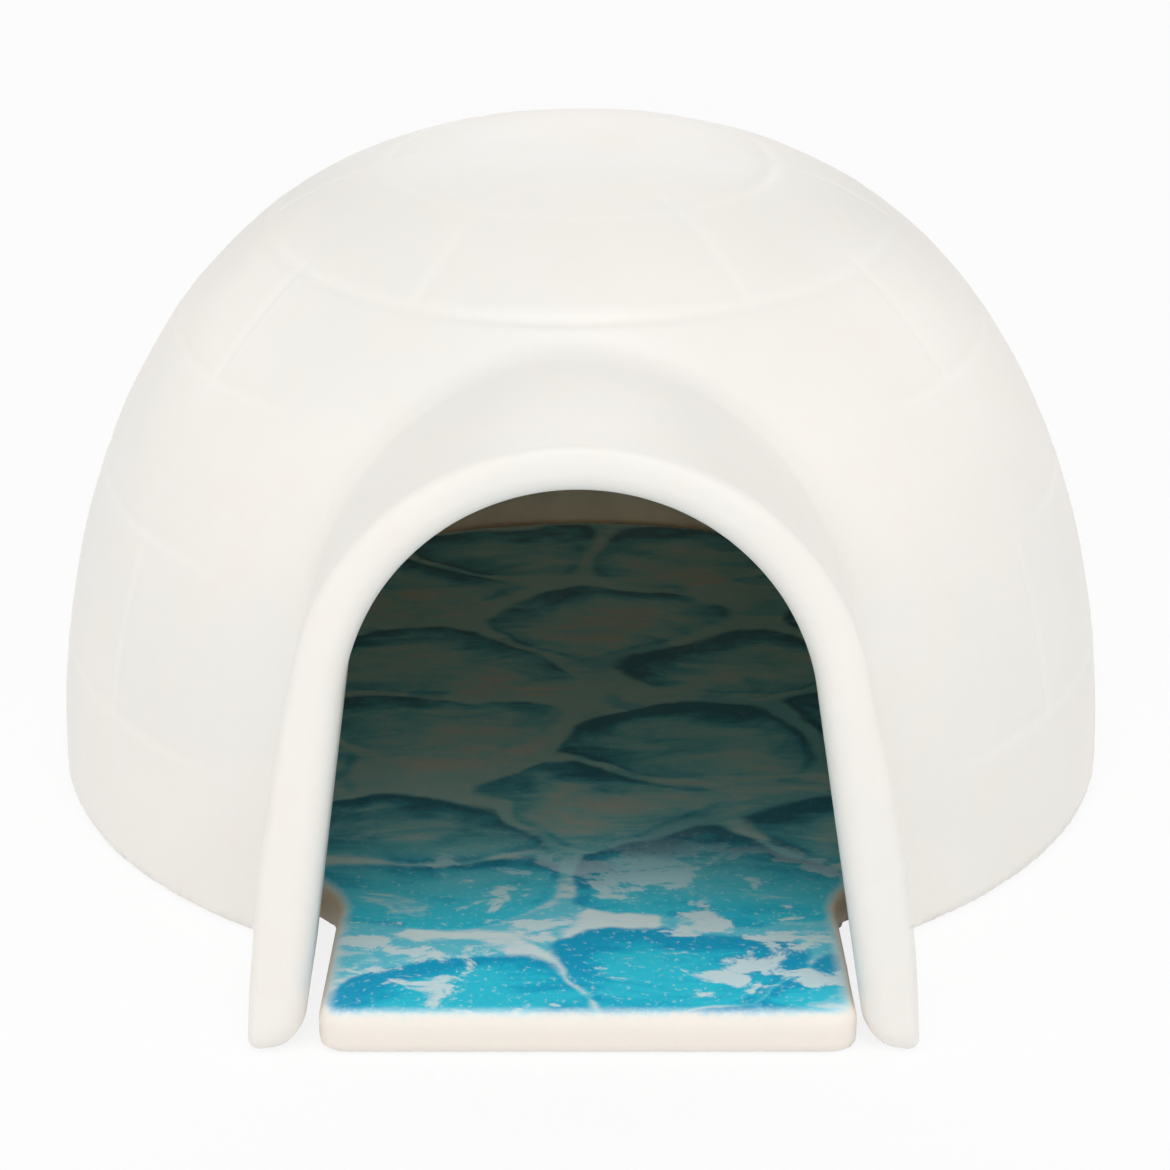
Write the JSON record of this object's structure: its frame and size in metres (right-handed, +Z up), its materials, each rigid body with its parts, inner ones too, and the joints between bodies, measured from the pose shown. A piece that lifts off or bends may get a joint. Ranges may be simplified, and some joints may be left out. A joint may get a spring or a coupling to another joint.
{
  "type": "rodent igloo",
  "caption": "Ceramic hideout for a small rodent: a hollow dome with an arched porch, standing over a loose keyhole-shaped floor plate.",
  "frame": {"origin": "on the underside of the floor plate, under the middle of the dome", "axes": "+Z up through the dome's crown, -Y out through the doorway, +X to the right seen from the doorway"},
  "size_m": [0.16, 0.1783, 0.096],
  "materials": {
    "shell_glaze": "satin off-white glaze",
    "plate_glaze": "satin glaze, turquoise stone paving on top and cream edges"
  },
  "bodies": {
    "plate": {"floor_plate": "plate_glaze"},
    "shell": {"igloo_shell": "shell_glaze"}
  },
  "joints": [
    {"name": "shell_lift", "type": "slide", "parent": "plate", "child": "shell", "axis": [0, 0, 1], "range_m": [0, 0.13]}
  ]
}
